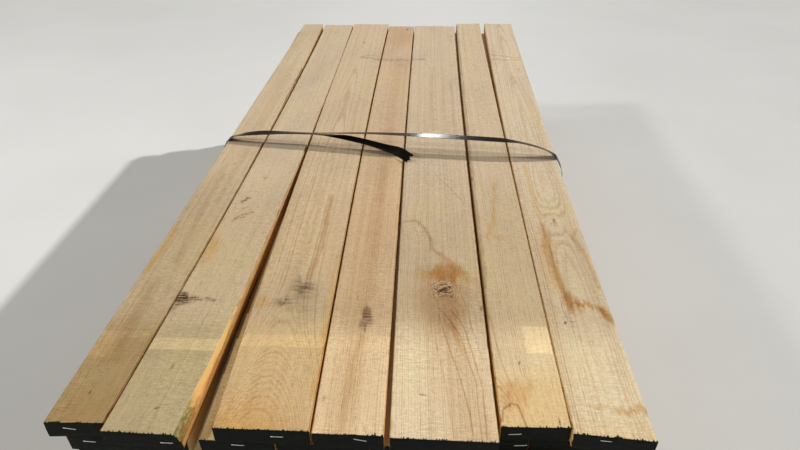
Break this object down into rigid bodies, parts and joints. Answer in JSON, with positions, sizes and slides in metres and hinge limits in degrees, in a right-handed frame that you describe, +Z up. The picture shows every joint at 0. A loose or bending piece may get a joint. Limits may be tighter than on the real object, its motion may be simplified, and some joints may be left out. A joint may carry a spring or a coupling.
{
  "type": "stack of sawn oak boards",
  "caption": "Square-edged sawn oak boards dead-stacked on timber bearers, with painted board ends and a slack steel strap round the stack.",
  "frame": {"origin": "on the floor, under the middle of the stack, at the bottom centre of its box", "axes": "+Y along the boards from the near ends to the far ends, +X across the boards to the right, +Z up"},
  "size_m": [1.1337, 2.487, 0.6672],
  "materials": {
    "sawn_oak": "rough sawn, pale fresh oak, ends painted dark green",
    "bearer_wood": "rough sawn, weathered",
    "strap_steel": "dark blued spring steel, semi-gloss"
  },
  "bodies": {
    "root": {"bearer_1": "bearer_wood", "bearer_2": "bearer_wood", "bearer_3": "bearer_wood", "layer_01": "sawn_oak", "layer_02": "sawn_oak", "layer_03": "sawn_oak", "layer_04": "sawn_oak", "layer_05": "sawn_oak", "layer_06": "sawn_oak", "layer_07": "sawn_oak", "layer_08": "sawn_oak", "layer_09": "sawn_oak", "layer_10": "sawn_oak", "layer_11": "sawn_oak", "layer_12": "sawn_oak", "strap": "strap_steel", "top_board_1": "sawn_oak", "top_board_2": "sawn_oak", "top_board_3": "sawn_oak", "top_board_4": "sawn_oak", "top_board_5": "sawn_oak", "top_board_6": "sawn_oak", "top_board_7": "sawn_oak"}
  },
  "joints": []
}
